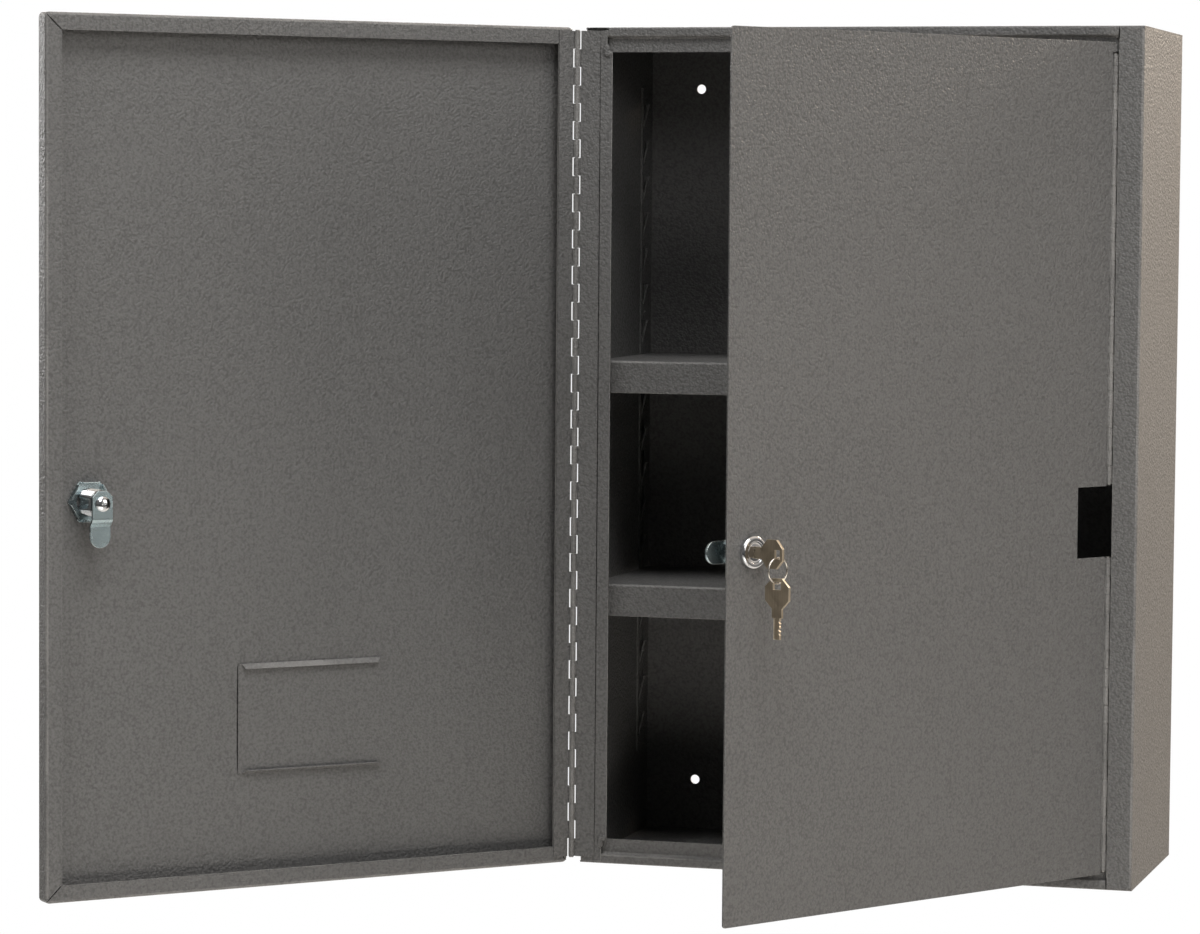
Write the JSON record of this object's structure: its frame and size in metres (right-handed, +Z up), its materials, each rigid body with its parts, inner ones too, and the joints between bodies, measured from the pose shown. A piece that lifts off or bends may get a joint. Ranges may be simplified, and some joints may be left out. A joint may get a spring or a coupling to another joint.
{
  "type": "lockable medicine cabinet",
  "caption": "Wall-hung steel medicine cabinet with an outer and an inner locking door on continuous hinges, and adjustable shelves.",
  "frame": {"origin": "centre of the four wall-screw holes, on the back face", "axes": "+X to the right seen from the front, +Y into the wall, +Z up"},
  "size_m": [0.7093, 0.4861, 0.6096],
  "materials": {
    "case_paint": "dark warm-grey fine-textured powder coat",
    "hinge_pin_steel": "plain steel pin",
    "lock_chrome": "bright chrome plate",
    "lock_zinc": "bright zinc plate",
    "key_nickel": "worn nickel-silver",
    "ring_steel": "drawn spring wire"
  },
  "bodies": {
    "case": {"back_panel": "case_paint", "left_side_panel": "case_paint", "right_side_panel": "case_paint", "top_panel": "case_paint", "bottom_panel": "case_paint", "upper_shelf": "case_paint", "lower_shelf": "case_paint", "front_left_ladder": "case_paint", "back_left_ladder": "case_paint", "front_right_ladder": "case_paint", "back_right_ladder": "case_paint", "outer_hinge_case_leaf": "case_paint", "outer_hinge_pin": "hinge_pin_steel", "upper_hinge_case_leaf": "case_paint", "upper_hinge_pin": "hinge_pin_steel", "lower_hinge_case_leaf": "case_paint", "lower_hinge_pin": "hinge_pin_steel"},
    "outer_door": {"outer_door": "case_paint", "outer_hinge_door_leaf": "case_paint", "card_holder": "case_paint", "outer_lock_body": "lock_chrome", "outer_lock_nut": "lock_zinc"},
    "outer_cam": {"outer_lock_plug": "lock_chrome", "outer_lock_cam": "lock_zinc", "outer_cam_screw": "lock_chrome"},
    "inner_door": {"inner_door": "case_paint", "upper_hinge_door_leaf": "case_paint", "lower_hinge_door_leaf": "case_paint", "inner_lock_body": "lock_chrome", "inner_lock_nut": "lock_zinc"},
    "inner_cam": {"inner_lock_plug": "lock_chrome", "inner_lock_cam": "lock_zinc", "inner_cam_screw": "lock_chrome", "inserted_key": "key_nickel"},
    "key_ring": {"key_ring": "ring_steel"},
    "spare_key": {"spare_key": "key_nickel"}
  },
  "joints": [
    {"name": "outer_door_hinge", "type": "hinge", "parent": "case", "child": "outer_door", "pos_m": [-0.2092, -0.18, 0], "axis": [0, 0, 1], "range_deg": [-46, 72]},
    {"name": "inner_door_hinge", "type": "hinge", "parent": "case", "child": "inner_door", "pos_m": [0.1825, -0.1775, 0], "axis": [0, 0, 1], "range_deg": [-57, 63]},
    {"name": "outer_lock_turn", "type": "hinge", "parent": "outer_door", "child": "outer_cam", "pos_m": [-0.48141, -0.43928, -0.0298], "axis": [-0.7193, 0.6947, 0], "range_deg": [0, 90]},
    {"name": "inner_lock_turn", "type": "hinge", "parent": "inner_door", "child": "inner_cam", "pos_m": [-0.00373, -0.46482, -0.0478], "axis": [0.8387, -0.5446, 0], "range_deg": [0, 90]},
    {"name": "key_ring_swing", "type": "hinge", "parent": "inner_cam", "child": "key_ring", "pos_m": [0.01732, -0.4785, -0.04985], "axis": [0.5446, 0.8387, 0], "range_deg": [-12, 12]},
    {"name": "spare_key_swing", "type": "hinge", "parent": "key_ring", "child": "spare_key", "pos_m": [0.01732, -0.4785, -0.06645], "axis": [0.5446, 0.8387, 0], "range_deg": [-15, 15]}
  ]
}
